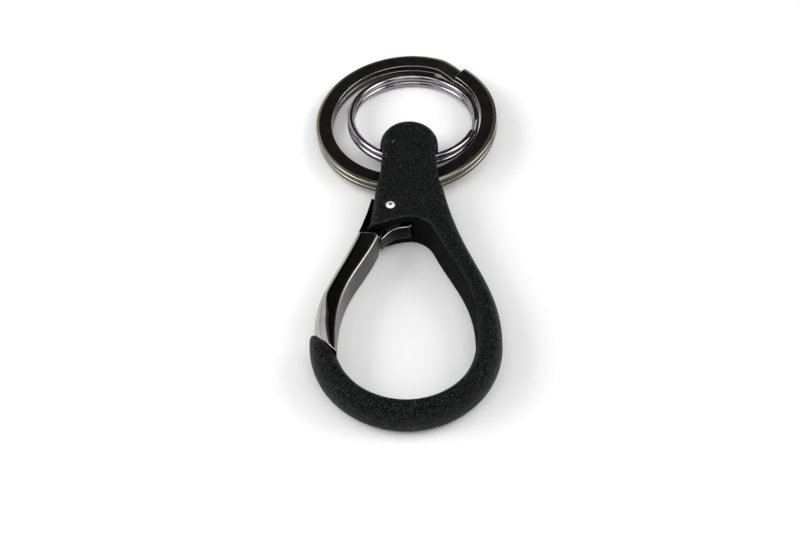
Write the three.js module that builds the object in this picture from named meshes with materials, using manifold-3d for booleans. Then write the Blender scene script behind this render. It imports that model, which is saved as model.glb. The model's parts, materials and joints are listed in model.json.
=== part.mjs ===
// Carabiner keyring: a cast snap hook with a sprung gate, a large flat split ring and a small wire one.
// Millimetres. The hook lies on its back: +Y runs from its loop to its head, x = 0 is the loop's centre
// line and z = 0 is the surface that it lies on.
import * as THREE from "three";
import { mergeVertices } from "three/addons/utils/BufferGeometryUtils.js";
import Module from "manifold-3d";

const wasm = await Module();
wasm.setup();

// Hook body
const HOOK_HEIGHT = 8;
const MID_Z = HOOK_HEIGHT / 2;
const LOOP_CENTRE_Y = -27.3;
const LOOP_HALF_WIDTH = 17.3;
const LOOP_SIDE_BAND = 4.76;
const LOOP_FOOT_BAND = 4;
const LOOP_DEPTH = 16.9;
const HEAD_R = 5.5;
const HEAD_CENTRE_Y = 18;
const NECK_HALF_WIDTH = 6.3;
const NECK_Y = 8.5;
const CHEEK_HALF_WIDTH = 6.85;
// Cutters that go right through stand clear of both faces, and the loop's stands only just clear.
const CUT_HEIGHT = HOOK_HEIGHT + 2;
const LOOP_CUT_HEIGHT = HOOK_HEIGHT + 0.002;

// An edge's rounding: how far it reaches in plan, and how far down from the flat face.
const ROUND_EDGE = { inset: 2.15, drop: 3.9 };
const FOOT_EDGE = { inset: 1.85, drop: 3.9 };
const HEAD_EDGE = { inset: 1.7, drop: 1.9 };
const CRISP_EDGE = { inset: 0.3, drop: 0.3 };
const GATE_INNER_EDGE = { inset: 0.4, drop: 0.4 };
const GATE_OUTER_EDGE = { inset: 0.8, drop: 1.2 };
const GATE_TIP_EDGE = { inset: 2.2, drop: 3.1 };
const EDGE_STEPS = 5;

// Slot through the head for both rings, along X, with flared mouths
const SLOT_Y = [8.2, 17.7];
const SLOT_Z = [1, 7];
const SLOT_CORNER_R = 1.6;
const SLOT_CORNER_STEPS = 3;
const SLOT_STRAIGHT_X = 2.5;
const SLOT_MOUTH_X = 6.2;
const SLOT_FLARE_Y = 0.8;
const SLOT_FLARE_FLOOR = 1.1;
const SLOT_FLARE_CEILING = 0.75;

// Gate, its pin and its pocket between the cheeks
const PIN = new THREE.Vector2(-3.3, 2.3);
const PIN_R = 0.93;
const PIN_CLEARANCE = 0.06;
const PIN_DIMPLE_R = 0.55;
const PIN_CHAMFER = 0.15;
const PIN_SIDES = 24;
const GATE_HEIGHT = 6.5;
const TONGUE_HEIGHT = 3.6;
const TONGUE_BOSS_R = 2.7;
const POCKET_HEIGHT = 4.1;
const POCKET_R = 3.9;
const POCKET_LEFT_X = -10;
const POCKET_RIGHT_X = 1.2;
const POCKET_MOUTH_Y = -4;
const POCKET_TOP_Y = 6.2;

// The slanted face at which the nose and the gate's tip meet
const NOSE_CORNER = new THREE.Vector2(-16.8, -26.9);
const NOSE_ALONG = new THREE.Vector2(4.5, -4.7).normalize();
const NOSE_ACROSS = new THREE.Vector2(-NOSE_ALONG.y, NOSE_ALONG.x);
const NOSE_GAP = 0.3;

// Leaf spring
const SPRING_WIDTH = 3.3;
const SPRING_THICKNESS = 0.3;

// Split rings: each is two turns, one on top of the other, joined by a short step. A ring lies with its far
// edge on the surface, tipped about the hinge line where it passes through the slot, and rolled sideways.
const LAYER_GAP = 0.08;
const FLAT_RING = {
  name: "flat_split_ring",
  meanR: 15.9,
  band: 3.05,
  layer: 1.21,
  chamfer: 0.18,
  centreX: -0.6,
  hingeY: 10.5,
  tiltDeg: 3,
  rollDeg: 4.5,
  topEndDeg: 49.5,
  stepDeg: 18.5,
};
const WIRE_RING = {
  name: "wire_split_ring",
  meanR: 12,
  band: 1.35,
  layer: 1.35,
  chamfer: 0.4,
  centreX: 0.7,
  hingeY: 15.1,
  tiltDeg: 8,
  rollDeg: 0,
  topEndDeg: -19,
  stepDeg: 20,
};
const RING_STEPS_PER_TURN = 48;

const MATT_BLACK = { color: 0x1c1c1d, roughness: 0.75, metalness: 0.1 };
const GUNMETAL = { color: 0x33312f, roughness: 0.18, metalness: 1 };
const BRIGHT_STEEL = { color: 0xdcdcda, roughness: 0.15, metalness: 1 };
const SPRING_STEEL = { color: 0x6e6c68, roughness: 0.3, metalness: 1 };
const MIRROR_GUNMETAL = { color: 0x6b6467, roughness: 0.12, metalness: 1 };

// A three.js geometry as a solid that can be joined and cut.
function toSolid(geometry) {
  const bare = new THREE.BufferGeometry();
  bare.setAttribute("position", geometry.getAttribute("position"));
  bare.setIndex(geometry.getIndex());
  const merged = mergeVertices(bare, 1e-4);
  return new wasm.Manifold(
    new wasm.Mesh({
      numProp: 3,
      vertProperties: merged.getAttribute("position").array,
      triVerts: new Uint32Array(merged.getIndex().array),
    }),
  );
}

function toGeometry(solid) {
  const mesh = solid.getMesh();
  const geometry = new THREE.BufferGeometry();
  geometry.setAttribute("position", new THREE.BufferAttribute(mesh.vertProperties, 3));
  geometry.setIndex(new THREE.BufferAttribute(mesh.triVerts, 1));
  geometry.computeVertexNormals();
  return geometry;
}

// Closes a stack of loops with equal point counts into one skin. The section is the first loop in 2D,
// counter-clockwise seen from the far end of the stack.
function skinLoops(loops, section) {
  const count = section.length;
  const positions = loops.flat().flatMap((point) => point.toArray());
  const indices = [];
  for (let level = 0; level + 1 < loops.length; level++) {
    for (let i = 0; i < count; i++) {
      const a = level * count + i;
      const b = level * count + ((i + 1) % count);
      indices.push(a, b, b + count, a, b + count, a + count);
    }
  }
  const last = (loops.length - 1) * count;
  for (const [a, b, c] of THREE.ShapeUtils.triangulateShape(section, [])) {
    indices.push(a, c, b, last + a, last + b, last + c);
  }
  const geometry = new THREE.BufferGeometry();
  geometry.setAttribute("position", new THREE.Float32BufferAttribute(positions, 3));
  geometry.setIndex(indices);
  return geometry;
}

const xy = (x, y) => new THREE.Vector2(x, y);

function ellipse(centreX, centreY, radiusX, radiusY, fromDeg, toDeg) {
  const toRad = THREE.MathUtils.degToRad;
  return new THREE.EllipseCurve(
    centreX, centreY, radiusX, radiusY, toRad(fromDeg), toRad(toDeg), toDeg < fromDeg,
  );
}

function arc(centreX, centreY, radius, fromDeg, toDeg) {
  return ellipse(centreX, centreY, radius, radius, fromDeg, toDeg);
}

function bezier(...points) {
  return new THREE.CubicBezierCurve(...points.map(([x, y]) => xy(x, y)));
}

function line(from, to) {
  return new THREE.LineCurve(xy(...from), xy(...to));
}

// Samples a closed outline of runs, each a curve with a step count and the edge at each of its ends.
function sampleOutline(runs) {
  const mix = THREE.MathUtils.lerp;
  return runs.flatMap(({ curve, steps, from, to = from }) =>
    Array.from({ length: steps }, (_, i) => ({
      point: curve.getPointAt(i / steps),
      inset: mix(from.inset, to.inset, i / steps),
      drop: mix(from.drop, to.drop, i / steps),
    })),
  );
}

// The outline's mitred normal at each sample, to the left of its direction, which is inwards.
function inwardNormals(samples) {
  const count = samples.length;
  return samples.map(({ point }, i) => {
    const before = point.clone().sub(samples[(i + count - 1) % count].point).normalize();
    const after = samples[(i + 1) % count].point.clone().sub(point).normalize();
    const bisector = before.clone().add(after).normalize();
    return xy(-bisector.y, bisector.x).multiplyScalar(1 / bisector.dot(after));
  });
}

// A slab over an outline whose upper and lower edges are rounded as each sample says. growth is 1 for a
// solid, whose flat faces are smaller than its waist, and -1 for a cutter, whose faces are larger.
function roundedSlab(runs, height, growth) {
  const samples = sampleOutline(runs);
  const normals = inwardNormals(samples);
  const halfHeight = height / 2;
  const loopAt = (turn, side) =>
    samples.map(({ point, inset, drop }, i) => {
      const reach = growth * inset * (1 - Math.cos(turn));
      const plan = point.clone().addScaledVector(normals[i], reach);
      const rise = halfHeight - drop * (1 - Math.sin(turn));
      return new THREE.Vector3(plan.x, plan.y, MID_Z + side * rise);
    });
  const turns = Array.from({ length: EDGE_STEPS + 1 }, (_, k) => (k / EDGE_STEPS) * (Math.PI / 2));
  const lower = turns.map((turn) => loopAt(turn, -1)).reverse();
  const upper = turns.map((turn) => loopAt(turn, 1));
  const section = lower[0].map(({ x, y }) => xy(x, y));
  return toSolid(skinLoops([...lower, ...upper], section));
}

// A sharp-edged slab over a plan polygon or path, centred on the hook's mid plane.
function plainSlab(outline, height) {
  const shape = Array.isArray(outline)
    ? new THREE.Shape(outline.map(([x, y]) => xy(x, y)))
    : outline;
  const geometry = new THREE.ExtrudeGeometry(shape, {
    depth: height,
    bevelEnabled: false,
    curveSegments: PIN_SIDES / 2,
  });
  geometry.translate(0, 0, MID_Z - height / 2);
  return toSolid(geometry);
}

function roundPeg(centre, radius, height) {
  const geometry = new THREE.CylinderGeometry(radius, radius, height, PIN_SIDES);
  geometry.rotateX(Math.PI / 2);
  geometry.translate(centre.x, centre.y, MID_Z);
  return toSolid(geometry);
}

// The hook's outer teardrop, right round, as if the gate's side were solid too.
function hookOuterRuns() {
  const loopRight = [LOOP_HALF_WIDTH, LOOP_CENTRE_Y];
  const loopLeft = [-LOOP_HALF_WIDTH, LOOP_CENTRE_Y];
  const foot = (fromDeg, toDeg) =>
    ellipse(0, LOOP_CENTRE_Y, LOOP_HALF_WIDTH, LOOP_DEPTH, fromDeg, toDeg);
  return [
    { curve: foot(180, 270), steps: 18, from: ROUND_EDGE, to: FOOT_EDGE },
    { curve: foot(270, 360), steps: 18, from: FOOT_EDGE, to: ROUND_EDGE },
    {
      curve: bezier(loopRight, [LOOP_HALF_WIDTH, -13.3], [9.8, -10], [NECK_HALF_WIDTH, NECK_Y]),
      steps: 20,
      from: ROUND_EDGE,
      to: HEAD_EDGE,
    },
    {
      curve: bezier([NECK_HALF_WIDTH, NECK_Y], [5.9, 10.5], [HEAD_R, 14.5], [HEAD_R, HEAD_CENTRE_Y]),
      steps: 5,
      from: HEAD_EDGE,
    },
    { curve: arc(0, HEAD_CENTRE_Y, HEAD_R, 0, 180), steps: 16, from: HEAD_EDGE },
    {
      curve: bezier([-HEAD_R, HEAD_CENTRE_Y], [-HEAD_R, 14], [-6.1, 7], [-CHEEK_HALF_WIDTH, 0]),
      steps: 9,
      from: HEAD_EDGE,
    },
    {
      curve: bezier([-CHEEK_HALF_WIDTH, 0], [-7.2, -6], [-LOOP_HALF_WIDTH, -14], loopLeft),
      steps: 14,
      from: HEAD_EDGE,
      to: ROUND_EDGE,
    },
  ];
}

// The loop's inside. Its edge is crisp in the crotch and fully round at the loop's foot.
function hookInnerRuns() {
  const limbEnd = [4.9, -3.7];
  const crotchTop = [0.6, -0.6];
  const cheekEnd = [-8.2, -3];
  const halfWidth = LOOP_HALF_WIDTH - LOOP_SIDE_BAND;
  const depth = LOOP_DEPTH - LOOP_FOOT_BAND;
  const loopLeft = [-halfWidth, LOOP_CENTRE_Y];
  const halfwayEdge = { inset: 1.3, drop: 2.4 };
  const foot = (fromDeg, toDeg) => ellipse(0, LOOP_CENTRE_Y, halfWidth, depth, fromDeg, toDeg);
  return [
    { curve: foot(180, 270), steps: 13, from: ROUND_EDGE, to: FOOT_EDGE },
    { curve: foot(270, 320), steps: 7, from: FOOT_EDGE },
    { curve: foot(320, 360), steps: 6, from: FOOT_EDGE, to: halfwayEdge },
    {
      curve: bezier([halfWidth, LOOP_CENTRE_Y], [halfWidth, -16], [8.65, -12], limbEnd),
      steps: 14,
      from: halfwayEdge,
      to: CRISP_EDGE,
    },
    { curve: bezier(limbEnd, [4.2, -2.1], [2.6, -0.6], crotchTop), steps: 6, from: CRISP_EDGE },
    { curve: bezier(crotchTop, [-2.4, -0.6], [-4.6, -2.5], cheekEnd), steps: 7, from: CRISP_EDGE },
    { curve: line(cheekEnd, loopLeft), steps: 8, from: CRISP_EDGE, to: ROUND_EDGE },
  ];
}

// A point along the nose's slanted face, and a given distance from it towards the gate.
function nosePoint(along, towardsGate) {
  const point = NOSE_CORNER.clone().addScaledVector(NOSE_ALONG, along);
  return point.addScaledVector(NOSE_ACROSS, towardsGate).toArray();
}

// What is missing between the nose and the cheeks, where the gate lies.
function gateGap() {
  const outline = [[-6, -3.3], [-9, -2.95], [-24, -8], nosePoint(-7, 0), nosePoint(9.5, 0), [-8, -28]];
  return plainSlab(outline, CUT_HEIGHT);
}

// How far the ring slot has opened at a distance from the centre line: 0 inside, 1 at its mouth. The flare
// is a quarter of an ellipse.
function slotFlare(x) {
  const across = (Math.abs(x) - SLOT_STRAIGHT_X) / (SLOT_MOUTH_X - SLOT_STRAIGHT_X);
  const share = THREE.MathUtils.clamp(across, 0, 1);
  return 1 - Math.sqrt(1 - share ** 2);
}

function ringSlot() {
  const stations = [0, 0.35, 0.6, 0.8, 0.93, 1].map((share) =>
    THREE.MathUtils.lerp(SLOT_STRAIGHT_X, SLOT_MOUTH_X, share),
  );
  stations.push(SLOT_MOUTH_X + 2);
  const section = (x) => {
    const flare = slotFlare(x);
    const near = SLOT_Y[0] - SLOT_FLARE_Y * flare + SLOT_CORNER_R;
    const far = SLOT_Y[1] + SLOT_FLARE_Y * flare - SLOT_CORNER_R;
    const floor = SLOT_Z[0] - SLOT_FLARE_FLOOR * flare + SLOT_CORNER_R;
    const ceiling = SLOT_Z[1] + SLOT_FLARE_CEILING * flare - SLOT_CORNER_R;
    const points = [];
    for (let quarter = 0; quarter < 4; quarter++) {
      for (let step = 0; step <= SLOT_CORNER_STEPS; step++) {
        const turn = ((quarter + step / SLOT_CORNER_STEPS) * Math.PI) / 2;
        const y = quarter === 0 || quarter === 3 ? far : near;
        const z = quarter < 2 ? ceiling : floor;
        points.push(xy(y + SLOT_CORNER_R * Math.cos(turn), z + SLOT_CORNER_R * Math.sin(turn)));
      }
    }
    return points;
  };
  const places = [...stations.map((x) => -x).reverse(), ...stations];
  const loops = places.map((x) => section(x).map((p) => new THREE.Vector3(x, p.x, p.y)));
  return toSolid(skinLoops(loops, section(places[0])));
}

// The pocket between the cheeks that holds the gate's tongue and the spring.
function gatePocket() {
  const room = (rightX, nearY, farY) =>
    plainSlab(
      [[POCKET_LEFT_X, nearY], [rightX, nearY], [rightX, farY], [POCKET_LEFT_X, farY]],
      POCKET_HEIGHT,
    );
  const springRoom = room(POCKET_RIGHT_X, POCKET_MOUTH_Y, PIN.y);
  const heelRoom = room(PIN.x, PIN.y, POCKET_TOP_Y);
  return springRoom.add(heelRoom).add(roundPeg(PIN, POCKET_R, POCKET_HEIGHT));
}

function hookBody() {
  const solid = roundedSlab(hookOuterRuns(), HOOK_HEIGHT, 1)
    .subtract(roundedSlab(hookInnerRuns(), LOOP_CUT_HEIGHT, -1))
    .subtract(gateGap())
    .subtract(ringSlot())
    .subtract(gatePocket())
    .subtract(roundPeg(PIN, PIN_R + PIN_CLEARANCE, CUT_HEIGHT));
  return toGeometry(solid);
}

// The gate's whole outline: its outer side, its tip carried past the nose's face, its inner side, and
// the tongue's boss round the pin.
function gateRuns() {
  const heel = [-6.9, 5.4];
  const outerEnd = [-16.55, -23];
  const tipEnd = [-14.6, -32];
  const tipCorner = [-12.3, -34];
  const innerEnd = [-12.35, -28.5];
  const shoulder = [-4.95, -3.3];
  const bossFrom = -40;
  const bossTo = 128;
  const bossPoint = (deg) => {
    const turn = THREE.MathUtils.degToRad(deg);
    return [PIN.x + TONGUE_BOSS_R * Math.cos(turn), PIN.y + TONGUE_BOSS_R * Math.sin(turn)];
  };
  return [
    {
      curve: bezier(heel, [-9.4, -7.6], [-16.3, -16.2], outerEnd),
      steps: 18,
      from: GATE_OUTER_EDGE,
      to: GATE_TIP_EDGE,
    },
    { curve: bezier(outerEnd, [-16.6, -25.5], [-16, -28.5], tipEnd), steps: 6, from: GATE_TIP_EDGE },
    { curve: line(tipEnd, tipCorner), steps: 1, from: GATE_INNER_EDGE },
    { curve: line(tipCorner, innerEnd), steps: 2, from: GATE_INNER_EDGE },
    {
      curve: bezier(innerEnd, [-13, -14.9], [-7.7, -12.5], shoulder),
      steps: 16,
      from: GATE_INNER_EDGE,
    },
    { curve: line(shoulder, [-4.1, -1]), steps: 1, from: GATE_INNER_EDGE },
    { curve: line([-4.1, -1], bossPoint(bossFrom)), steps: 1, from: GATE_INNER_EDGE },
    {
      curve: arc(PIN.x, PIN.y, TONGUE_BOSS_R, bossFrom, bossTo),
      steps: 12,
      from: GATE_INNER_EDGE,
    },
    { curve: line(bossPoint(bossTo), heel), steps: 1, from: GATE_INNER_EDGE },
  ];
}

// All of the plan above the gate's shoulder, where only the tongue's height is left.
function aboveShoulder(height) {
  const shape = new THREE.Shape();
  shape.moveTo(-12, -3.5);
  shape.lineTo(-6.4, -3.75);
  shape.quadraticCurveTo(-5.5, -3.85, -5.2, -4.9);
  shape.lineTo(-4.4, -6);
  shape.lineTo(3, -6);
  shape.lineTo(3, 8);
  shape.lineTo(-12, 8);
  return plainSlab(shape, height);
}

function gate() {
  const besideTongue = aboveShoulder(CUT_HEIGHT).subtract(aboveShoulder(TONGUE_HEIGHT));
  const noseSide = plainSlab(
    [nosePoint(-6, NOSE_GAP), nosePoint(-6, -12), nosePoint(14, -12), nosePoint(14, NOSE_GAP)],
    CUT_HEIGHT,
  );
  const solid = roundedSlab(gateRuns(), GATE_HEIGHT, 1)
    .subtract(besideTongue)
    .subtract(noseSide)
    .subtract(roundPeg(PIN, PIN_R + PIN_CLEARANCE, CUT_HEIGHT));
  return toGeometry(solid);
}

// The pin, turned round its own axis, with chamfered ends that are dimpled where they were punched.
function gatePin() {
  const end = HOOK_HEIGHT / 2;
  const upperHalf = [
    xy(PIN_R, end - PIN_CHAMFER),
    xy(PIN_R - PIN_CHAMFER, end),
    xy(PIN_DIMPLE_R, end),
    xy(0, end - PIN_CHAMFER),
  ];
  const lowerHalf = upperHalf.map(({ x, y }) => xy(x, -y)).reverse();
  const profile = [...lowerHalf, ...upperHalf];
  const geometry = new THREE.LatheGeometry(profile, PIN_SIDES);
  geometry.rotateX(Math.PI / 2);
  return toGeometry(toSolid(geometry));
}

// The spring's strip on edge: up the pocket's end wall, round a bend and out to the gate's inner side.
function gateSpring() {
  const bends = [[0.8, 1.7], [0.75, -0.3], [0.1, -1.1], [-1.6, -1.4], [-3.3, -2.3], [-4.85, -4.1]];
  const centre = new THREE.SplineCurve(bends.map(([x, y]) => xy(x, y)));
  const steps = 20;
  const side = (sign) =>
    Array.from({ length: steps + 1 }, (_, i) => {
      const along = centre.getTangent(i / steps);
      const offset = (sign * SPRING_THICKNESS) / 2;
      return centre.getPoint(i / steps).add(xy(-along.y, along.x).multiplyScalar(offset));
    });
  const outline = [...side(-1), ...side(1).reverse()];
  return toGeometry(plainSlab(new THREE.Shape(outline), SPRING_WIDTH));
}

// A split ring's strip, wound clockwise seen from above, from the end of its upper layer to the end of its
// lower one. Its nearest point is at the origin and its centre is meanR along +Y.
function splitRing({ meanR, band, layer, chamfer, topEndDeg, stepDeg }) {
  const halfBand = band / 2;
  const halfLayer = layer / 2;
  const section = [
    xy(halfBand, -halfLayer + chamfer),
    xy(halfBand, halfLayer - chamfer),
    xy(halfBand - chamfer, halfLayer),
    xy(-halfBand + chamfer, halfLayer),
    xy(-halfBand, halfLayer - chamfer),
    xy(-halfBand, -halfLayer + chamfer),
    xy(-halfBand + chamfer, -halfLayer),
    xy(halfBand - chamfer, -halfLayer),
  ];
  const layerRise = (layer + LAYER_GAP) / 2;
  const woundDeg = 720 - stepDeg;
  const stepFrom = 360 - stepDeg;
  const steps = Math.round((woundDeg / 360) * RING_STEPS_PER_TURN);
  const loops = Array.from({ length: steps + 1 }, (_, i) => {
    const wound = (i / steps) * woundDeg;
    const turn = THREE.MathUtils.degToRad(topEndDeg - wound);
    const lowered = THREE.MathUtils.smoothstep(wound, stepFrom, 360);
    const z = layerRise * (1 - 2 * lowered);
    return section.map((p) => {
      const radius = meanR + p.x;
      return new THREE.Vector3(radius * Math.cos(turn), meanR + radius * Math.sin(turn), z + p.y);
    });
  });
  return toGeometry(toSolid(skinLoops(loops, section)));
}

// How high a ring's hinge line is when the lowest point of its lower rim lies on the surface.
function hingeHeight({ meanR, band, layer, tiltDeg, rollDeg }) {
  const toRad = THREE.MathUtils.degToRad;
  const slope = Math.acos(Math.cos(toRad(tiltDeg)) * Math.cos(toRad(rollDeg)));
  const halfStack = layer + LAYER_GAP / 2;
  const rim = halfStack * Math.cos(slope) + (meanR + band / 2) * Math.sin(slope);
  return meanR * Math.sin(toRad(tiltDeg)) + rim;
}

function placedRing(ring, look) {
  const mesh = namedMesh(ring.name, splitRing(ring), look);
  mesh.position.set(ring.centreX, ring.hingeY, hingeHeight(ring));
  mesh.rotation.x = THREE.MathUtils.degToRad(-ring.tiltDeg);
  mesh.rotation.y = THREE.MathUtils.degToRad(-ring.rollDeg);
  return mesh;
}

function namedMesh(name, geometry, look) {
  const mesh = new THREE.Mesh(geometry, new THREE.MeshStandardMaterial(look));
  mesh.name = name;
  return mesh;
}

const keyring = new THREE.Group();
keyring.add(namedMesh("hook_body", hookBody(), MATT_BLACK));
keyring.add(namedMesh("gate", gate(), GUNMETAL));
const pin = namedMesh("gate_pin", gatePin(), BRIGHT_STEEL);
pin.position.set(PIN.x, PIN.y, MID_Z);
keyring.add(pin);
keyring.add(namedMesh("gate_spring", gateSpring(), SPRING_STEEL));
keyring.add(placedRing(FLAT_RING, GUNMETAL));
keyring.add(placedRing(WIRE_RING, MIRROR_GUNMETAL));

export default keyring;
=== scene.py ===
import json
import math

import bmesh
import bpy
import numpy as np
from mathutils import Matrix, Vector


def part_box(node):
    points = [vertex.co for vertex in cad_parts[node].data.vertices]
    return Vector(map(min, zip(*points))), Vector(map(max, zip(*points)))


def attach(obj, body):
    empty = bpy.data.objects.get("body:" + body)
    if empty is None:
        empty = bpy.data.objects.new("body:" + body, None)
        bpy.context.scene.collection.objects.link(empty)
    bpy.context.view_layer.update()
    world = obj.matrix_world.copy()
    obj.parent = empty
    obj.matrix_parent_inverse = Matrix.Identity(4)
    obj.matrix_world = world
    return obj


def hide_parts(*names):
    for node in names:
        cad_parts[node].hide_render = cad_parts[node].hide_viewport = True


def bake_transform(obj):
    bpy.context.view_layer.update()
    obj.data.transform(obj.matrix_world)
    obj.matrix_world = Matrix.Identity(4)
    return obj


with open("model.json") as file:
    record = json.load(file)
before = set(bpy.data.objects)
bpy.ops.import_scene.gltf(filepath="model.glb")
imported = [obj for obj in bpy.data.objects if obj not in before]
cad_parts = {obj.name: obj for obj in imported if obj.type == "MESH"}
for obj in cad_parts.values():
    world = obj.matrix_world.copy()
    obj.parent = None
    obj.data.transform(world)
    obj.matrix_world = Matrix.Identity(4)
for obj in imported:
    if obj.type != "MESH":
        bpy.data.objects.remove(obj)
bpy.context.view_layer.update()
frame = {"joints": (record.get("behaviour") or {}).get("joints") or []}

# The looks of the carabiner keyring. Shapes are drawn in millimetres and brought to metres at the end.
MM = 0.001
JOINT_AT = {joint["name"]: Vector(joint["pos_m"]) / MM for joint in frame["joints"]}

# Hook body
HOOK_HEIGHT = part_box("hook_body")[1].z / MM
MID_Z = HOOK_HEIGHT / 2
CUT_HEIGHT = HOOK_HEIGHT + 2
LOOP_CUT_HEIGHT = HOOK_HEIGHT + 0.002
LOOP_CENTRE_Y = -27.3
LOOP_HALF_WIDTH = 17.3
LOOP_DEPTH = 16.9
LOOP_INNER_HALF_WIDTH = LOOP_HALF_WIDTH - 4.76
LOOP_INNER_DEPTH = LOOP_DEPTH - 4
OPENING_MIDDLE_Y = -22
OUTLINE_SPACING = 0.3
HOOK_VOXEL = 0.2
HEAD_R = 5.5
HEAD_CENTRE_Y = 18
NECK = (6.3, 8.5)
CHEEK = (-6.85, 0)

# An edge's rounding: how far it reaches in plan, and how far down from the flat face.
ROUND_EDGE = (2.15, 3.9)
FOOT_EDGE = (1.85, 3.9)
HALFWAY_EDGE = (1.3, 2.4)
HEAD_EDGE = (1.7, 1.9)
CRISP_EDGE = (0.35, 0.35)
GATE_INNER_EDGE = (0.42, 0.42)
GATE_OUTER_EDGE = (1.1, 1.5)
GATE_BACK_EDGE = (1.3, 1.8)
GATE_TIP_EDGE = (3.0, 3.1)
GATE_NOSE_EDGE = (2.3, 3.1)
EDGE_STEPS = 14

# Slot through the head for both rings, along X, with flared mouths
SLOT_Y = (8.2, 17.7)
SLOT_Z = (1, 7)
SLOT_CORNER_R = 1.6
SLOT_STRAIGHT_X = 2.5
SLOT_MOUTH_X = 6.2
SLOT_FLARE_Y = 0.8
SLOT_FLARE_FLOOR = 1.1
SLOT_FLARE_CEILING = 0.75

# Gate, its pin and its pocket between the cheeks
PIN = JOINT_AT["gate_pivot"].xy
PIN_R = 0.93
PIN_HOLE_R = PIN_R + 0.06
PIN_DOME_HEIGHT = 0.5
PIN_PROUD = 0.04
DIMPLE_R = 0.42
DIMPLE_DEPTH = 0.1
GATE_HEIGHT = 6.5
SHOULDER_CUT_HEIGHT = GATE_HEIGHT + 0.004
TONGUE_HEIGHT = 3.6
TONGUE_BOSS_R = 2.7
GATE_OUTLINE_SPACING = 0.2
GATE_VOXEL = 0.1
SHOULDER_Y = -3.7
TURN_IN_SHARE = 0.73
POCKET_HEIGHT = 4.1
POCKET_R = 3.9
POCKET_X = (-10, 1.2)
POCKET_MOUTH_Y = -4
POCKET_TOP_Y = 6.2

# The slanted face at which the nose and the gate's tip meet
NOSE_CORNER = Vector((-16.8, -26.9))
NOSE_ALONG = Vector((4.5, -4.7)).normalized()
NOSE_ACROSS = Vector((-NOSE_ALONG.y, NOSE_ALONG.x))
NOSE_GAP = 0.5

# Split rings: the gap between a ring's two layers, and the flat strip's chamfer and bends
LAYER_GAP = 0.08
STRIP_CHAMFER = (0.55, 0.2)
STRIP_BEND = 0.09
WIRE_CORNER_R = 0.66


# ---- curves in plan ----

def even(points, steps):
    """The points of a fine polyline again, at even distances along it, without the last."""
    points = np.array(points, float)
    along = np.concatenate([[0], np.cumsum(np.linalg.norm(np.diff(points, axis=0), axis=1))])
    wanted = np.linspace(0, along[-1], steps, endpoint=False)
    return np.stack([np.interp(wanted, along, points[:, axis]) for axis in (0, 1)], 1)


def bezier(a, b, c, d):
    t = np.linspace(0, 1, 400)[:, None]
    a, b, c, d = (np.array(p, float) for p in (a, b, c, d))
    return (1 - t) ** 3 * a + 3 * (1 - t) ** 2 * t * b + 3 * (1 - t) * t**2 * c + t**3 * d


def ellipse(centre, radius_x, radius_y, from_deg, to_deg):
    turn = np.radians(np.linspace(from_deg, to_deg, 400))
    return np.stack([centre[0] + radius_x * np.cos(turn), centre[1] + radius_y * np.sin(turn)], 1)


def line(a, b):
    return np.array([a, b], float)


def sample(runs, spacing):
    """Samples a closed outline of runs. Each is a curve with the edge at its start and at its end, and the
    edge eases from one to the other."""
    points, edges = [], []
    for curve, first, last in runs:
        length = np.linalg.norm(np.diff(curve, axis=0), axis=1).sum()
        steps = max(2, round(length / spacing))
        share = np.linspace(0, 1, steps, endpoint=False)[:, None]
        share = share * share * (3 - 2 * share)
        points.append(even(curve, steps))
        edges.append((1 - share) * np.array(first) + share * np.array(last))
    return np.concatenate(points), np.concatenate(edges)


def inward_normals(points):
    """The outline's mitred normal at each sample, to the left of its direction."""
    before = points - np.roll(points, 1, 0)
    after = np.roll(points, -1, 0) - points
    before /= np.linalg.norm(before, axis=1)[:, None]
    after /= np.linalg.norm(after, axis=1)[:, None]
    middle = before + after
    middle /= np.linalg.norm(middle, axis=1)[:, None]
    scale = 1 / (middle * after).sum(1)
    return np.stack([-middle[:, 1], middle[:, 0]], 1) * scale[:, None]


# ---- solids ----

def new_object(name, vertices, faces):
    mesh = bpy.data.meshes.new(name)
    mesh.from_pydata([tuple(v) for v in vertices], [], faces)
    built = bmesh.new()
    built.from_mesh(mesh)
    bmesh.ops.recalc_face_normals(built, faces=built.faces)
    built.to_mesh(mesh)
    built.free()
    piece = bpy.data.objects.new(name, mesh)
    bpy.context.scene.collection.objects.link(piece)
    return piece


def skin(name, loops):
    """Closes a stack of loops with equal point counts into one solid."""
    levels, count = len(loops), len(loops[0])
    faces = []
    for level in range(levels - 1):
        for i in range(count):
            a, b = level * count + i, level * count + (i + 1) % count
            faces.append((a, b, b + count, a + count))
    faces.append(tuple(range(count)))
    faces.append(tuple((levels - 1) * count + i for i in range(count)))
    return new_object(name, np.concatenate(loops), faces)


def rounded_slab(name, runs, height, growth, spacing):
    """A slab over an outline, its edges rounded as each run says. growth is 1 for a solid, -1 for a
    cutter."""
    points, edges = sample(runs, spacing)
    normals = inward_normals(points)
    inset, drop = edges[:, :1], edges[:, 1]
    lower, upper = [], []
    for turn in np.linspace(0, math.pi / 2, EDGE_STEPS + 1):
        plan = points + normals * growth * inset * (1 - math.cos(turn))
        rise = height / 2 - drop * (1 - math.sin(turn))
        upper.append(np.column_stack([plan, MID_Z + rise]))
        lower.insert(0, np.column_stack([plan, MID_Z - rise]))
    return skin(name, lower + upper)


def plain_slab(name, outline, height):
    outline = np.array(outline, float)
    loops = [
        np.column_stack([outline, np.full(len(outline), MID_Z + side * height / 2)])
        for side in (-1, 1)
    ]
    return skin(name, loops)


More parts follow.
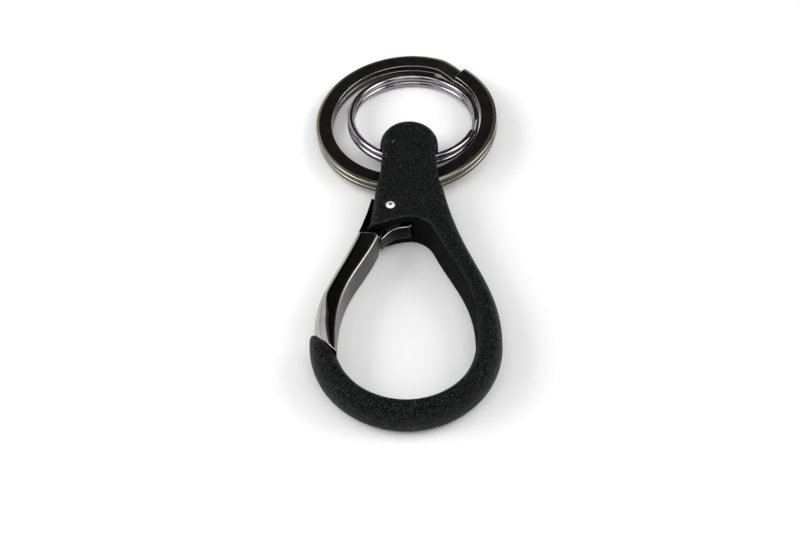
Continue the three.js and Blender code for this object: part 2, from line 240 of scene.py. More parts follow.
def rounded_section(width, height, corner_r, corner_steps):
    """A rounded rectangle, anticlockwise, and how far each point is round a corner: 0 on a flat, 1 at
    the middle."""
    points, corner = [], []
    for quarter, (side, up) in enumerate([(1, 1), (-1, 1), (-1, -1), (1, -1)]):
        for step in range(corner_steps + 1):
            turn = math.radians(quarter * 90 + 90 * step / corner_steps)
            reach = side * (width / 2 - corner_r) + corner_r * math.cos(turn)
            rise = up * (height / 2 - corner_r) + corner_r * math.sin(turn)
            points.append((reach, rise))
            corner.append(math.sin(math.pi * step / corner_steps) ** 0.5)
    return np.array(points), np.array(corner)


def chamfered_section(width, height, chamfer, bend):
    """A strip's section, anticlockwise, chamfered along both outer edges, and how worn each point is:
    0 on a flat, 0.5 on a chamfer, 1 on a bend. Points beside each bend keep the flats flat."""
    across, down = chamfer
    right, top = width / 2, height / 2
    corners = [
        ((right, top - down), 0.5),
        ((right - across, top), 0),
        ((-right, top), 0),
        ((-right, -top), 0),
        ((right - across, -top), 0.5),
        ((right, down - top), 0),
    ]
    points, worn = [], []
    for i, (corner, worn_after) in enumerate(corners):
        here, last, following = (np.array(corners[(i + k) % len(corners)][0]) for k in (0, -1, 1))
        start = here + bend * (last - here) / np.linalg.norm(last - here)
        end = here + bend * (following - here) / np.linalg.norm(following - here)
        worn_before = corners[i - 1][1]
        points += [1.8 * start - 0.8 * here, start, (start + 2 * here + end) / 4, end, 1.8 * end - 0.8 * here]
        worn += [worn_before, (worn_before + 1) / 2, 1, (worn_after + 1) / 2, worn_after]
    return np.array(points), np.array(worn)


def round_peg(name, centre, radius, height):
    turn = np.linspace(0, 2 * math.pi, 64, endpoint=False)
    outline = np.column_stack([centre[0] + radius * np.cos(turn), centre[1] + radius * np.sin(turn)])
    return plain_slab(name, outline, height)


def settle(piece):
    """Applies a piece's modifiers to its mesh."""
    graph = bpy.context.evaluated_depsgraph_get()
    mesh = bpy.data.meshes.new_from_object(piece.evaluated_get(graph))
    piece.modifiers.clear()
    piece.data = mesh


def cut(piece, cutters):
    for cutter in cutters:
        boolean = piece.modifiers.new("boolean", "BOOLEAN")
        boolean.operation = "DIFFERENCE"
        boolean.solver = "MANIFOLD"
        boolean.object = cutter
    settle(piece)
    for cutter in cutters:
        bpy.data.objects.remove(cutter)


def cast(piece, voxel, passes):
    """Rebuilds a cut solid as an even skin whose sharp edges are softened as a casting's are."""
    target = bpy.data.objects.new("target", piece.data.copy())
    bpy.context.scene.collection.objects.link(target)
    remesh = piece.modifiers.new("remesh", "REMESH")
    remesh.mode = "VOXEL"
    remesh.voxel_size = voxel
    wrap = piece.modifiers.new("wrap", "SHRINKWRAP")
    wrap.target = target
    smooth = piece.modifiers.new("smooth", "SMOOTH")
    smooth.factor = 0.5
    smooth.iterations = passes
    settle(piece)
    bpy.data.objects.remove(target)


def mark_edges(piece, flat, sharp):
    """Stores how far each point is on a raised edge, from its mean bend in 1/mm: 0 up to flat, 1 from
    sharp on. Returns the points' places and normals."""
    mesh = piece.data
    places = np.zeros(len(mesh.vertices) * 3)
    mesh.vertices.foreach_get("co", places)
    places = places.reshape(-1, 3)
    normals = np.zeros(len(mesh.vertices) * 3)
    mesh.vertex_normals.foreach_get("vector", normals)
    normals = normals.reshape(-1, 3)
    ends = np.zeros(len(mesh.edges) * 2, int)
    mesh.edges.foreach_get("vertices", ends)
    first, second = ends.reshape(-1, 2).T
    step = places[second] - places[first]
    bend = ((normals[second] - normals[first]) * step).sum(1) / np.maximum((step**2).sum(1), 1e-9)
    count = np.bincount(ends, minlength=len(places))
    mean = (np.bincount(first, bend, len(places)) + np.bincount(second, bend, len(places))) / count
    for _ in range(5):
        around = np.bincount(first, mean[second], len(places)) + np.bincount(second, mean[first], len(places))
        mean = (mean + around / count) / 2
    store(piece, "wear_and_highlight_edge", np.clip((mean - flat) / (sharp - flat), 0, 1))
    return places, normals


def store(piece, name, values):
    attribute = piece.data.attributes.get(name) or piece.data.attributes.new(name, "FLOAT", "POINT")
    attribute.data.foreach_set("value", values.astype(np.float32))


def keep(piece, name, share):
    """Scales a stored value by a share at each point."""
    values = np.zeros(len(share), np.float32)
    piece.data.attributes[name].data.foreach_get("value", values)
    store(piece, name, values * share)


def finish_piece(piece, material):
    """Brings a piece to metres, shades it smooth and gives it its material."""
    piece.data.transform(Matrix.Scale(MM, 4))
    piece.data.materials.clear()
    piece.data.materials.append(material)
    piece.data.shade_smooth()


# ---- hook body ----

def hook_outer_runs():
    loop_centre = (0, LOOP_CENTRE_Y)
    right, left = (LOOP_HALF_WIDTH, LOOP_CENTRE_Y), (-LOOP_HALF_WIDTH, LOOP_CENTRE_Y)
    head_right, head_left = (HEAD_R, HEAD_CENTRE_Y), (-HEAD_R, HEAD_CENTRE_Y)
    foot = (loop_centre, LOOP_HALF_WIDTH, LOOP_DEPTH)
    return [
        (ellipse(*foot, 180, 270), ROUND_EDGE, FOOT_EDGE),
        (ellipse(*foot, 270, 360), FOOT_EDGE, ROUND_EDGE),
        (bezier(right, (LOOP_HALF_WIDTH, -13.3), (9.8, -10), NECK), ROUND_EDGE, HEAD_EDGE),
        (bezier(NECK, (5.9, 10.5), (HEAD_R, 14.5), head_right), HEAD_EDGE, HEAD_EDGE),
        (ellipse((0, HEAD_CENTRE_Y), HEAD_R, HEAD_R, 0, 180), HEAD_EDGE, HEAD_EDGE),
        (bezier(head_left, (-HEAD_R, 14), (-6.1, 7), CHEEK), HEAD_EDGE, HEAD_EDGE),
        (bezier(CHEEK, (-7.2, -6), (-LOOP_HALF_WIDTH, -14), left), HEAD_EDGE, ROUND_EDGE),
    ]


def hook_inner_runs():
    loop_centre = (0, LOOP_CENTRE_Y)
    half, depth = LOOP_INNER_HALF_WIDTH, LOOP_INNER_DEPTH
    right, left = (half, LOOP_CENTRE_Y), (-half, LOOP_CENTRE_Y)
    limb_end, crotch_top, cheek_end = (4.9, -3.7), (0.6, -0.6), (-8.2, -3)
    return [
        (ellipse(loop_centre, half, depth, 180, 270), ROUND_EDGE, FOOT_EDGE),
        (ellipse(loop_centre, half, depth, 270, 320), FOOT_EDGE, FOOT_EDGE),
        (ellipse(loop_centre, half, depth, 320, 360), FOOT_EDGE, HALFWAY_EDGE),
        (bezier(right, (half, -16), (8.65, -12), limb_end), HALFWAY_EDGE, CRISP_EDGE),
        (bezier(limb_end, (4.2, -2.1), (2.6, -0.6), crotch_top), CRISP_EDGE, CRISP_EDGE),
        (bezier(crotch_top, (-2.4, -0.6), (-4.6, -2.5), cheek_end), CRISP_EDGE, CRISP_EDGE),
        (line(cheek_end, left), CRISP_EDGE, ROUND_EDGE),
    ]


def nose_point(along, towards_gate):
    return tuple(NOSE_CORNER + NOSE_ALONG * along + NOSE_ACROSS * towards_gate)


def ring_slot():
    """The slot's cutter: a rounded rectangle along X whose mouths flare like a quarter of an ellipse."""
    shares = np.sin(np.linspace(0, math.pi / 2, 14))
    inner = SLOT_STRAIGHT_X + (SLOT_MOUTH_X - SLOT_STRAIGHT_X) * shares
    stations = np.concatenate([inner, [SLOT_MOUTH_X + 2]])
    loops = []
    for x in np.concatenate([-stations[::-1], stations]):
        share = np.clip((abs(x) - SLOT_STRAIGHT_X) / (SLOT_MOUTH_X - SLOT_STRAIGHT_X), 0, 1)
        flare = 1 - math.sqrt(1 - share**2)
        near = SLOT_Y[0] - SLOT_FLARE_Y * flare + SLOT_CORNER_R
        far = SLOT_Y[1] + SLOT_FLARE_Y * flare - SLOT_CORNER_R
        floor = SLOT_Z[0] - SLOT_FLARE_FLOOR * flare + SLOT_CORNER_R
        ceiling = SLOT_Z[1] + SLOT_FLARE_CEILING * flare - SLOT_CORNER_R
        loop = []
        for quarter, (y, z) in enumerate([(far, ceiling), (near, ceiling), (near, floor), (far, floor)]):
            for turn in np.radians(np.linspace(quarter * 90, quarter * 90 + 90, 9)):
                loop.append((x, y + SLOT_CORNER_R * math.cos(turn), z + SLOT_CORNER_R * math.sin(turn)))
        loops.append(np.array(loop))
    return skin("ring_slot", loops)


def pocket_cutters():
    left, right = POCKET_X
    spring_room = [(left, POCKET_MOUTH_Y), (right, POCKET_MOUTH_Y), (right, PIN.y), (left, PIN.y)]
    heel_room = [(left, PIN.y), (PIN.x, PIN.y), (PIN.x, POCKET_TOP_Y), (left, POCKET_TOP_Y)]
    return [
        plain_slab("spring_room", spring_room, POCKET_HEIGHT),
        plain_slab("heel_room", heel_room, POCKET_HEIGHT),
        round_peg("boss_room", PIN, POCKET_R, POCKET_HEIGHT),
    ]


def mark_hook(hook):
    """Stores where the body's edges are rubbed, and where upright walls face the middle of its opening and
    get painted shade.
    """
    places, normals = mark_edges(hook, 0.35, 1)
    to_middle = np.array([0, OPENING_MIDDLE_Y]) - places[:, :2]
    to_middle /= np.linalg.norm(to_middle, axis=1)[:, None]
    facing_in = np.clip((normals[:, :2] * to_middle).sum(1), 0, 1)
    upright = np.clip((0.55 - normals[:, 2]) / 0.3, 0, 1)
    # Painted shade on upright walls that face into the opening, strongest where they face the camera's side
    store(hook, "painted_shade_wall", facing_in * upright * np.clip(0.6 - 0.7 * normals[:, 1], 0, 1))


def make_hook(material):
    gap = [(-6, -3.3), (-9, -2.95), (-24, -8), nose_point(-7, 0), nose_point(9.5, 0), (-8, -28)]
    cutters = [
        rounded_slab("loop_inside", hook_inner_runs(), LOOP_CUT_HEIGHT, -1, OUTLINE_SPACING),
        plain_slab("gate_gap", gap, CUT_HEIGHT),
        ring_slot(),
        *pocket_cutters(),
        round_peg("pin_hole", PIN, PIN_HOLE_R, CUT_HEIGHT),
    ]
    hook = rounded_slab("hook_casting", hook_outer_runs(), HOOK_HEIGHT, 1, OUTLINE_SPACING)
    cut(hook, cutters)
    cast(hook, HOOK_VOXEL, 4)
    mark_hook(hook)
    finish_piece(hook, material)
    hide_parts("hook_body")
    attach(hook, "hook")


# ---- gate ----

def gate_runs():
    heel, outer_end, tip_end = (-6.9, 5.4), (-16.55, -23), (-14.6, -32)
    tip_corner, inner_end, shoulder, waist = (-12.3, -34), (-12.35, -28.5), (-4.95, -3.3), (-4.1, -1)
    boss = ellipse(PIN, TONGUE_BOSS_R, TONGUE_BOSS_R, -40, 128)
    inner = GATE_INNER_EDGE
    back = bezier(heel, (-9.4, -7.6), (-16.3, -16.2), outer_end)
    turn_in = round(TURN_IN_SHARE * len(back))
    return [
        (back[: turn_in + 1], GATE_OUTER_EDGE, GATE_BACK_EDGE),
        (back[turn_in:], GATE_BACK_EDGE, GATE_TIP_EDGE),
        (bezier(outer_end, (-16.6, -25.5), (-16, -28.5), tip_end), GATE_TIP_EDGE, GATE_NOSE_EDGE),
        (line(tip_end, tip_corner), inner, inner),
        (line(tip_corner, inner_end), inner, inner),
        (bezier(inner_end, (-13, -14.9), (-7.7, -12.5), shoulder), inner, inner),
        (line(shoulder, waist), inner, inner),
        (line(waist, boss[0]), inner, inner),
        (boss, inner, inner),
        (line(boss[-1], heel), inner, inner),
    ]


def shoulder_runs():
    """All of the plan above the gate's shoulder, anticlockwise, starting along the shoulder."""
    corner = bezier((-6.4, -3.75), (-5.8, -3.82), (-5.4, -4.2), (-5.2, -4.9))
    edge = GATE_INNER_EDGE
    return [
        (line((-12, -3.5), (-6.4, -3.75)), edge, edge),
        (corner, edge, edge),
        (line((-5.2, -4.9), (-4.4, -6)), edge, edge),
        (line((-4.4, -6), (3, -6)), edge, edge),
        (line((3, -6), (3, 8)), edge, edge),
        (line((3, 8), (-12, 8)), edge, edge),
        (line((-12, 8), (-12, -3.5)), edge, edge),
    ]


def gate_cutters():
    """What the gate leaves free: both sides of its tongue, the nose's face and the pin's hole."""
    beside_tongue = rounded_slab(
        "beside_tongue", shoulder_runs(), SHOULDER_CUT_HEIGHT, -1, GATE_OUTLINE_SPACING
    )
    tongue = plain_slab("tongue", [(-14, -9), (5, -9), (5, 10), (-14, 10)], TONGUE_HEIGHT)
    cut(beside_tongue, [tongue])
    near = [nose_point(along, NOSE_GAP) for along in (-6, 14)]
    far = [nose_point(along, -12) for along in (14, -6)]
    return [
        beside_tongue,
        plain_slab("nose_side", near + far, CUT_HEIGHT),
        round_peg("gate_pin_hole", PIN, PIN_HOLE_R, CUT_HEIGHT),
    ]


def mark_gate(gate):
    """Stores where the gate is satin and painted dark with shade, where its edges are worn and painted light,
    and where its tongue is painted dark. Its inner, shoulder and heel edges are polished through and carry a
    painted highlight, and its tongue's and outer side's aren't. The tongue's dark is painted shade for the
    inside of the pocket."""
    places, normals = mark_edges(gate, 0.4, 0.95)
    # The upright inner side facing the loop is satin, and painted dark for the shade it mirrors
    facing_in = np.clip((normals[:, 0] - 0.2) / 0.3, 0, 1)
    upright = np.clip((0.6 - abs(normals[:, 2])) / 0.3, 0, 1)
    store(gate, "satin_shaded_side", facing_in * upright)
    level = np.maximum(np.hypot(normals[:, 0], normals[:, 1]), 0.001)
    # The inner and shoulder edges are paler: wear, and a painted highlight
    inner_or_shoulder = np.clip(1.5 * (normals[:, 0] + 0.9 * normals[:, 1]) / level, 0, 1)
    beyond_tongue = np.clip((abs(places[:, 2] - MID_Z) - TONGUE_HEIGHT / 2) / 0.8, 0, 1)
    past_shoulder = np.clip((places[:, 1] - SHOULDER_Y) / 0.3, 0, 1)
    # A painted highlight along the heel's outer edge
    heel_highlight_edge = past_shoulder * np.clip(-1.5 * normals[:, 0], 0, 1)
    keep(gate, "wear_and_highlight_edge", np.maximum(inner_or_shoulder * beyond_tongue, heel_highlight_edge))
    # Painted shade on the tongue past the shoulder, inside the hook's pocket
    inboard = np.clip((normals[:, 0] + 0.5) / 0.5, 0, 1)
    store(gate, "shaded_tongue", past_shoulder * inboard)


def make_gate(material):
    gate = rounded_slab("gate_lever", gate_runs(), GATE_HEIGHT, 1, GATE_OUTLINE_SPACING)
    cut(gate, gate_cutters())
    cast(gate, GATE_VOXEL, 6)
    mark_gate(gate)
    finish_piece(gate, material)
    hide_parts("gate")
    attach(gate, "gate")


# ---- pin and spring ----

def make_pin(material):
    """The pin, turned round its own axis: domed ends with a punched dimple in each."""
    top = HOOK_HEIGHT / 2 + PIN_PROUD
    upper = []
    for radius in PIN_R * np.sin(np.linspace(math.pi / 2, 0, 22)):
        dome = top - PIN_DOME_HEIGHT * (1 - math.sqrt(1 - (radius / PIN_R) ** 2))
        dimple = DIMPLE_DEPTH * max(0, 1 - (radius / DIMPLE_R) ** 2)
        upper.append((radius, dome - dimple))
    profile = [(r, -z) for r, z in reversed(upper)] + upper
    turn = np.linspace(0, 2 * math.pi, 48, endpoint=False)
    loops = []
    for radius, z in profile:
        reach = max(radius, 0.004)
        rim = [PIN.x + reach * np.cos(turn), PIN.y + reach * np.sin(turn), np.full(len(turn), MID_Z + z)]
        loops.append(np.column_stack(rim))
    pin = skin("pivot_pin", loops)
    inside = [min(1, 2 * max(0, 1 - radius / DIMPLE_R)) for radius, _ in profile]
    store(pin, "dimple", np.repeat(inside, len(turn)))
    finish_piece(pin, material)
    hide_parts("gate_pin")
    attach(pin, "hook")


def catmull(points, steps):
    """A smooth curve through points, whose neighbours beyond both ends are mirrored."""
    points = np.array(points, float)
    padded = np.vstack([2 * points[0] - points[1], points, 2 * points[-1] - points[-2]])
    curve = []
    for i in range(len(points) - 1):
        a, b, c, d = padded[i : i + 4]
        for t in np.linspace(0, 1, steps, endpoint=False):
            square, cube = 2 * a - 5 * b + 4 * c - d, 3 * b - a - 3 * c + d
            curve.append((2 * b + (c - a) * t + square * t**2 + cube * t**3) / 2)
    curve.append(points[-1])
    return np.array(curve)


def make_spring(material):
    """The spring's strip on edge: up the pocket's end wall, round a bend and out to the gate's inner side."""
    width, thickness, corner_r = 3.3, 0.3, 0.1
    end_wall = [(0.8, 1.7), (0.75, -0.3)]
    bend = [(0.1, -1.1), (-1.6, -1.4)]
    run_out = [(-3.3, -2.3), (-4.85, -4.1)]
    path = catmull(end_wall + bend + run_out, 10)
    along = np.gradient(path, axis=0)
    along /= np.linalg.norm(along, axis=1)[:, None]
    across = np.stack([-along[:, 1], along[:, 0]], 1)
    section, corner = rounded_section(thickness, width, corner_r, 4)
    loops = [
        np.array([(*(point + sideways * reach), MID_Z + rise) for reach, rise in section])
        for point, sideways in zip(path, across)
    ]
    spring = skin("leaf_spring", loops)
    store(spring, "wear_and_highlight_edge", np.tile(corner, len(loops)))
    finish_piece(spring, material)
    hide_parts("gate_spring")
    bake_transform(spring)


# ---- split rings ----

def wound_ring(name, ring, section, worn_section):
    """A split ring's strip, wound clockwise from the end of its upper layer to the end of its lower one.
    It drops from one layer to the other over step_deg."""
    rise = (ring["layer"] + LAYER_GAP) / 2
    wound_deg = 720 - ring["step_deg"]
    end_round, step = ring["end_round"], ring["turn_step_deg"]
    arc_deg = math.degrees(end_round / ring["mean_r"])
    start = arc_deg * (1 - np.cos(np.linspace(0, math.pi / 2, 5)))
    middle = np.arange(arc_deg + step, wound_deg - arc_deg, step)
    wound = np.concatenate([start, middle, wound_deg - start[::-1]])
    loops, worn = [], []
    for angle in wound:
        turn = math.radians(ring["top_end_deg"] - angle)
        at_end = 1 - min(angle / arc_deg, (wound_deg - angle) / arc_deg, 1)
        shrink = end_round * (1 - math.sqrt(1 - at_end**2))
        low = np.clip((angle - (360 - ring["step_deg"])) / ring["step_deg"], 0, 1)
        lowered = low * low * (3 - 2 * low)
        z = rise * (1 - 2 * lowered)
        # The upper layer's lower edges keep the dark plating: painted shade between the two layers
        outside_layer_shade = np.where(section[:, 1] > 0, 1, lowered)
        worn.append(np.maximum(worn_section * outside_layer_shade, at_end))
        scale = np.array([1 - 2 * shrink / ring["band"], 1 - 2 * shrink / ring["layer"]])
        here = section * scale
        radius = ring["mean_r"] + here[:, 0]
        x, y = radius * math.cos(turn), ring["mean_r"] + radius * math.sin(turn)
        loops.append(np.column_stack([x, y, z + here[:, 1]]))
    piece = skin(name, loops)
    store(piece, "wear_and_highlight_edge", np.concatenate(worn))
    tip = Matrix.Rotation(math.radians(-ring["tilt_deg"]), 4, "X")
    roll = Matrix.Rotation(math.radians(-ring["roll_deg"]), 4, "Y")
    piece.data.transform(Matrix.Translation(JOINT_AT[ring["joint"]]) @ tip @ roll)
    return piece


FLAT_RING = {
    "joint": "flat_ring_swing",
    "mean_r": 15.9,
    "band": 3.05,
    "layer": 1.21,
    "end_round": 0.25,
    "tilt_deg": 3,
    "roll_deg": 4.5,
    "top_end_deg": 49.5,
    "step_deg": 18.5,
    "turn_step_deg": 1,
}
WIRE_RING = {
    "joint": "wire_ring_swing",
    "mean_r": 12,
    "band": 1.35,
    "layer": 1.35,
    "end_round": 0.3,
    "tilt_deg": 8,
    "roll_deg": 0,
    "top_end_deg": -19,
    "step_deg": 20,
    "turn_step_deg": 0.5,
}


def make_flat_ring(material):
    section = chamfered_section(FLAT_RING["band"], FLAT_RING["layer"], STRIP_CHAMFER, STRIP_BEND)
    ring = wound_ring("large_key_ring", FLAT_RING, *section)
    finish_piece(ring, material)
    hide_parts("flat_split_ring")
    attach(ring, "flat_ring")


def make_wire_ring(material):
    section = rounded_section(WIRE_RING["band"], WIRE_RING["layer"], WIRE_CORNER_R, 7)
    ring = wound_ring("small_key_ring", WIRE_RING, *section)
    finish_piece(ring, material)
    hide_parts("wire_split_ring")
    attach(ring, "wire_ring")


# ---- materials ----

class Shader:
    """A Principled material whose nodes are added one at a time. Noise scales are sizes in millimetres."""

    def __init__(self, name):
        self.material = bpy.data.materials.new(name)
        self.material.use_nodes = True
        self.nodes = self.material.node_tree.nodes
        self.links = self.material.node_tree.links
        self.surface = self.nodes["Principled BSDF"]
        self.place = self.nodes.new("ShaderNodeTexCoord").outputs["Object"]

    def set(self, **values):
        for key, value in values.items():
            self.surface.inputs[key.replace("_", " ")].default_value = value

    def noise(self, size_mm, detail=2, roughness=0.5, stretch=(1, 1, 1)):
        place = self.place
        if stretch != (1, 1, 1):
            mapping = self.nodes.new("ShaderNodeMapping")
            mapping.inputs["Scale"].default_value = stretch
            self.links.new(self.place, mapping.inputs["Vector"])
            place = mapping.outputs["Vector"]
        texture = self.nodes.new("ShaderNodeTexNoise")
        texture.inputs["Scale"].default_value = 1 / (size_mm * MM)
        texture.inputs["Detail"].default_value = detail
        texture.inputs["Roughness"].default_value = roughness
        self.links.new(place, texture.inputs["Vector"])
        return texture.outputs["Fac"]

    def cells(self, size_mm):
        texture = self.nodes.new("ShaderNodeTexVoronoi")
        texture.inputs["Scale"].default_value = 1 / (size_mm * MM)
        self.links.new(self.place, texture.inputs["Vector"])
        return texture

    def remap(self, value, low, high, to_low, to_high):
        node = self.nodes.new("ShaderNodeMapRange")
        for key, number in zip(("From Min", "From Max", "To Min", "To Max"), (low, high, to_low, to_high)):
            node.inputs[key].default_value = number
        self.links.new(value, node.inputs["Value"])
        return node.outputs["Result"]

    def sum(self, first, second):
        node = self.nodes.new("ShaderNodeMath")
        self.links.new(first, node.inputs[0])
        self.links.new(second, node.inputs[1])
        return node.outputs["Value"]

    def colours(self, share, first, second):
        """Mixes two colours by a share from 0 to 1."""
        node = self.nodes.new("ShaderNodeMix")
        node.data_type = "RGBA"
        node.inputs["A"].default_value = (*first, 1)
        node.inputs["B"].default_value = (*second, 1)
        self.links.new(share, node.inputs["Factor"])
        return node.outputs["Result"]

    def over(self, colour, share, second):
        """Lays a second colour over a varying one."""
        mixed = self.colours(share, (0, 0, 0), second)
        self.links.new(colour, mixed.node.inputs["A"])
        return mixed

    def attribute(self, name, low, high, to_low, to_high):
        """A value stored on the piece's points, remapped."""
        node = self.nodes.new("ShaderNodeAttribute")
        node.attribute_name = name
        return self.remap(node.outputs["Fac"], low, high, to_low, to_high)

    def bump(self, height, depth_mm):
        node = self.nodes.new("ShaderNodeBump")
        node.inputs["Distance"].default_value = depth_mm * MM
        self.links.new(height, node.inputs["Height"])
        self.links.new(node.outputs["Normal"], self.surface.inputs["Normal"])

    def drive(self, socket, value):
        self.links.new(value, self.surface.inputs[socket])

    def finished(self, colour, roughness):
        """The material, with its varying colour and roughness."""
        self.drive("Base Color", colour)
        self.drive("Roughness", roughness)
        return self.material


# Colours in linear light, from dark to light where a finish has two
COAT = (0.001, 0.001, 0.001), (0.0265, 0.028, 0.0287)
COAT_SPECK = (0.09, 0.091, 0.093)
COAT_RUBBED = (0.05, 0.05, 0.05)
# Painted shade for the walls round the opening
COAT_WALL_SHADE = (0.0045, 0.0047, 0.0047)
GATE_PLATING = (0.34, 0.332, 0.322), (0.43, 0.42, 0.407)
# Painted shade for the gate's satin inner side
GATE_SATIN_SHADE = (0.029, 0.0282, 0.0266)
# The gate's worn edge colour, which is also a painted highlight
GATE_WORN_HIGHLIGHT = (0.4, 0.37, 0.315)
# Painted shade for the tongue inside the pocket
GATE_TONGUE_SHADE = (0.03, 0.029, 0.027)
RING_PLATING = (0.065, 0.062, 0.057), (0.1, 0.096, 0.088)
RING_RUBBED = (0.21, 0.193, 0.14)
RING_WORN = (0.5, 0.455, 0.375)
WIRE_PLATING = (0.24, 0.215, 0.234), (0.34, 0.308, 0.332)
PIN_STEEL = (0.88, 0.86, 0.81), (0.97, 0.95, 0.9)
PIN_DIMPLE = (0.16, 0.145, 0.12)
SPRING_OILED = (0.002, 0.0019, 0.0018), (0.014, 0.0135, 0.0125)
SPRING_BARE = (0.62, 0.6, 0.56)
FLOOR_WHITE = (0.9, 0.9, 0.9), (0.92, 0.92, 0.92)


def matt_black():
    """Powder coat: near black, with a fine pebbled grain, lighter specks, and edges rubbed a little paler.
    The walls round the opening carry painted shade, darker and smoother in tone, and are less glossy."""
    shader = Shader("matt_black_powder_coat")
    shader.set(Specular_IOR_Level=0.04)
    blotch = shader.noise(1.0, 3, 0.6)
    pebble = shader.noise(0.25, 1, 0.5)
    grain = shader.sum(shader.remap(blotch, 0, 1, 0, 0.25), pebble)
    colour = shader.colours(shader.remap(grain, 0.62, 0.77, 0, 1), *COAT)
    speck = shader.remap(shader.cells(0.3).outputs["Color"], 0.93, 0.97, 0, 1)
    colour = shader.over(colour, speck, COAT_SPECK)
    colour = shader.over(colour, shader.attribute("wear_and_highlight_edge", 0, 1, 0, 0.25), COAT_RUBBED)
    # Painted shade darkens the walls round the opening; the same mask makes them rougher
    colour = shader.over(colour, shader.attribute("painted_shade_wall", 0, 0.5, 0, 0.85), COAT_WALL_SHADE)
    gloss = shader.remap(shader.noise(0.4, 2), 0.3, 0.7, 0.3, 0.42)
    roughness = shader.sum(gloss, shader.attribute("painted_shade_wall", 0, 0.5, 0, 0.5))
    shader.bump(shader.sum(pebble, shader.remap(blotch, 0, 1, 0, 1.6)), 0.14)
    return shader.finished(colour, roughness)


def black_nickel(name, plating, polish, mark_mm, metallic=1):
    """Polished black nickel, a dark mirror with faint clouding and fine polishing marks: the shader, its
    colour and its roughness."""
    shader = Shader(name)
    shader.set(Metallic=metallic)
    colour = shader.colours(shader.remap(shader.noise(2.5, 3), 0.35, 0.65, 0, 1), *plating)
    roughness = shader.remap(shader.noise(0.8, 4), 0.3, 0.7, *polish)
    shader.bump(shader.noise(mark_mm, 2, 0.5, (1, 1, 0.25)), 0.0015)
    return shader, colour, roughness


def gunmetal():
    """The gate's plating: paler where its edges are polished through and carry a painted highlight, satin and
    painted dark with shade on the side that faces the loop, and painted dark with the pocket's shade on the
    tongue."""
    shader, colour, roughness = black_nickel("gate_black_nickel", GATE_PLATING, (0.06, 0.12), 0.3)
    # Painted shade on the satin inner side
    colour = shader.over(colour, shader.attribute("satin_shaded_side", 0, 1, 0, 1), GATE_SATIN_SHADE)
    # Paler edges: wear and a painted highlight
    colour = shader.over(colour, shader.attribute("wear_and_highlight_edge", 0.1, 0.8, 0, 1), GATE_WORN_HIGHLIGHT)
    # Painted shade on the tongue
    colour = shader.over(colour, shader.attribute("shaded_tongue", 0, 1, 0, 1), GATE_TONGUE_SHADE)
    roughness = shader.sum(roughness, shader.attribute("wear_and_highlight_edge", 0, 1, 0, 0.25))
    roughness = shader.sum(roughness, shader.attribute("satin_shaded_side", 0, 1, 0, 0.22))
    return shader.finished(colour, roughness)


def ring_nickel():
    """The flat ring's plating, rubbed through to warmer metal along its edges."""
    shader, colour, roughness = black_nickel("ring_black_nickel", RING_PLATING, (0.1, 0.18), 0.25, 0.9)
    colour = shader.over(colour, shader.attribute("wear_and_highlight_edge", 0.1, 0.45, 0, 1), RING_RUBBED)
    colour = shader.over(colour, shader.attribute("wear_and_highlight_edge", 0.6, 0.95, 0, 1), RING_WORN)
    return shader.finished(colour, roughness)


def wire_nickel():
    shader, colour, roughness = black_nickel("wire_black_nickel", WIRE_PLATING, (0.04, 0.09), 0.25)
    return shader.finished(colour, roughness)


def bright_steel():
    """The pin's bare steel, darker in its dimples."""
    shader = Shader("bright_pin_steel")
    shader.set(Metallic=0.55)
    colour = shader.colours(shader.noise(0.5, 2), *PIN_STEEL)
    colour = shader.over(colour, shader.attribute("dimple", 0, 1, 0, 1), PIN_DIMPLE)
    shader.bump(shader.noise(0.15, 2), 0.0004)
    return shader.finished(colour, shader.remap(shader.noise(0.6, 1), 0.3, 0.7, 0.38, 0.46))


def spring_steel():
    """Dark oiled strip whose sheared edges are bare."""
    shader = Shader("rolled_spring_steel")
    shader.set(Metallic=1)
    colour = shader.colours(shader.remap(shader.noise(0.7, 3), 0.4, 0.65, 0, 1), *SPRING_OILED)
    colour = shader.over(colour, shader.attribute("wear_and_highlight_edge", 0.1, 0.7, 0, 1), SPRING_BARE)
    shader.bump(shader.noise(0.2, 2, 0.5, (1, 1, 8)), 0.004)
    return shader.finished(colour, shader.remap(shader.noise(0.3, 3), 0.3, 0.7, 0.18, 0.3))


# ---- studio ----

# Floor, in metres, just under the object
FLOOR_HALF = 1.5
FLOOR_Z = -0.00002

# World: directions have X to the right, Y away from the camera and Z up. Pairs are where a change of
# light starts and ends.
PANEL_COUNT = 5
PANEL_PHASE = math.radians(118)
PANEL_EDGE = (-0.75, -0.25)
GAP_LIGHT = 0.06
FLAG_SIDE_X = (0.46, 0.6)
FLAG_BOTTOM_Z = (0.28, 0.42)
FLAG_FRONT_Y = (-0.3, -0.15)
FLAG_LIGHT = 0.07
HORIZON_Z = (0.02, 0.3)
HORIZON_LIGHT = 0.8

# Area lights: place and size in millimetres, and watts
SOFTBOXES = {
    "softbox_right": ((430, 60, 380), (320, 320), 1.2),
    "softbox_left": ((-440, -30, 320), (320, 320), 1.5),
    "softbox_above": ((20, -90, 520), (520, 420), 1.1),
}

CAMERA_DISTANCE = 450
CAMERA_ELEVATION = math.radians(52.5)
CAMERA_AZIMUTH = math.radians(0.84)
CAMERA_AIM = Vector((-1.36, -8.5, 3))
CAMERA_LENS = 109.96


def make_floor():
    x, y = FLOOR_HALF, FLOOR_HALF
    corners = [(-x, -y, FLOOR_Z), (x, -y, FLOOR_Z), (x, y, FLOOR_Z), (-x, y, FLOOR_Z)]
    floor = new_object("studio_floor", corners, [(0, 1, 2, 3)])
    shader = Shader("white_floor")
    shader.set(Roughness=0.6, Specular_IOR_Level=0.2)
    shader.drive("Base Color", shader.colours(shader.noise(40, 2), *FLOOR_WHITE))
    floor.data.materials.append(shader.material)


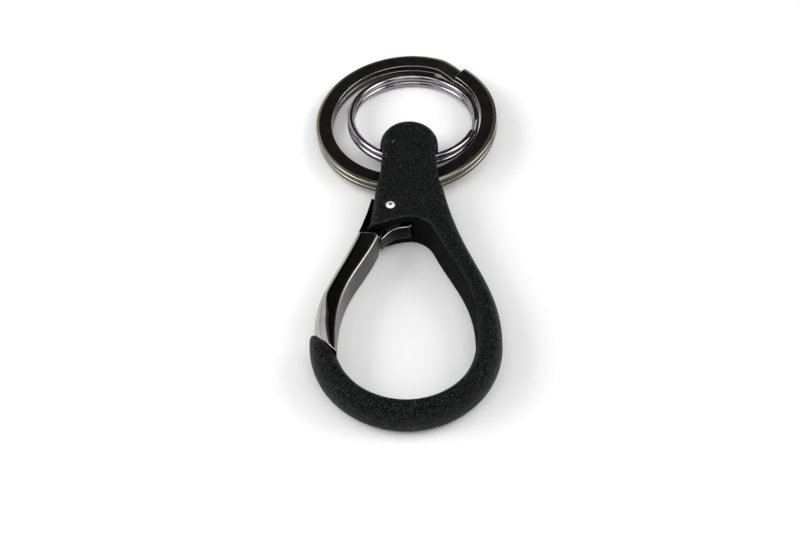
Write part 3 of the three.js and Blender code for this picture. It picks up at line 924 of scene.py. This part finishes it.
def make_world():
    """A ring of pale panels, with a dark flag above and behind, which the flat polished faces mirror."""
    world = bpy.data.worlds.new("studio")
    world.use_nodes = True
    bpy.context.scene.world = world
    nodes, links = world.node_tree.nodes, world.node_tree.links
    direction = nodes.new("ShaderNodeTexCoord").outputs["Generated"]
    axes = nodes.new("ShaderNodeSeparateXYZ")
    links.new(direction, axes.inputs["Vector"])

    def ramp(value, span, to_low, to_high):
        node = nodes.new("ShaderNodeMapRange")
        node.interpolation_type = "SMOOTHSTEP"
        for key, number in zip(("From Min", "From Max", "To Min", "To Max"), (*span, to_low, to_high)):
            node.inputs[key].default_value = number
        links.new(value, node.inputs["Value"])
        return node.outputs["Result"]

    def math_node(operation, *values):
        node = nodes.new("ShaderNodeMath")
        node.operation = operation
        for socket, value in zip(node.inputs, values):
            if isinstance(value, (int, float)):
                socket.default_value = value
            else:
                links.new(value, socket)
        return node.outputs["Value"]

    azimuth = math_node("ARCTAN2", axes.outputs["Y"], axes.outputs["X"])
    phase = math_node("ADD", math_node("MULTIPLY", azimuth, PANEL_COUNT), PANEL_PHASE)
    gaps = ramp(math_node("SINE", phase), PANEL_EDGE, GAP_LIGHT, 1)
    beside = ramp(math_node("ABSOLUTE", axes.outputs["X"]), FLAG_SIDE_X, 0, 1)
    below = ramp(axes.outputs["Z"], FLAG_BOTTOM_Z, 1, 0)
    in_front = ramp(axes.outputs["Y"], FLAG_FRONT_Y, 1, 0)
    off_flag = math_node("MAXIMUM", math_node("MAXIMUM", beside, below), in_front)
    level = ramp(off_flag, (0, 1), FLAG_LIGHT, 1)
    horizon = ramp(axes.outputs["Z"], HORIZON_Z, HORIZON_LIGHT, 1)
    strength = math_node("MULTIPLY", math_node("MULTIPLY", level, horizon), gaps)
    background = nodes["Background"]
    background.inputs["Color"].default_value = (1, 1, 1, 1)
    links.new(strength, background.inputs["Strength"])


def area_light(name, place_mm, size_mm, watts):
    light = bpy.data.lights.new(name, "AREA")
    light.shape = "RECTANGLE"
    light.size, light.size_y = (side * MM for side in size_mm)
    light.energy = watts
    lamp = bpy.data.objects.new(name, light)
    lamp.location = Vector(place_mm) * MM
    lamp.rotation_euler = (-lamp.location).to_track_quat("-Z", "Y").to_euler()
    bpy.context.scene.collection.objects.link(lamp)


def make_lights():
    for name, (place_mm, size_mm, watts) in SOFTBOXES.items():
        area_light(name, place_mm, size_mm, watts)


def make_camera():
    out = math.cos(CAMERA_ELEVATION)
    up = math.sin(CAMERA_ELEVATION)
    back = Vector((math.sin(CAMERA_AZIMUTH) * out, -math.cos(CAMERA_AZIMUTH) * out, up))
    camera = bpy.data.objects.new("camera", bpy.data.cameras.new("camera"))
    camera.data.sensor_width = 36
    camera.data.lens = CAMERA_LENS
    camera.data.clip_start = 0.01
    camera.location = (CAMERA_AIM + back * CAMERA_DISTANCE) * MM
    camera.rotation_euler = (-back).to_track_quat("-Z", "Y").to_euler()
    bpy.context.scene.collection.objects.link(camera)
    bpy.context.scene.camera = camera


make_camera()
make_world()
make_lights()
make_floor()
make_hook(matt_black())
make_gate(gunmetal())
make_pin(bright_steel())
make_spring(spring_steel())
make_flat_ring(ring_nickel())
make_wire_ring(wire_nickel())
bpy.context.scene.view_settings.view_transform = "Standard"
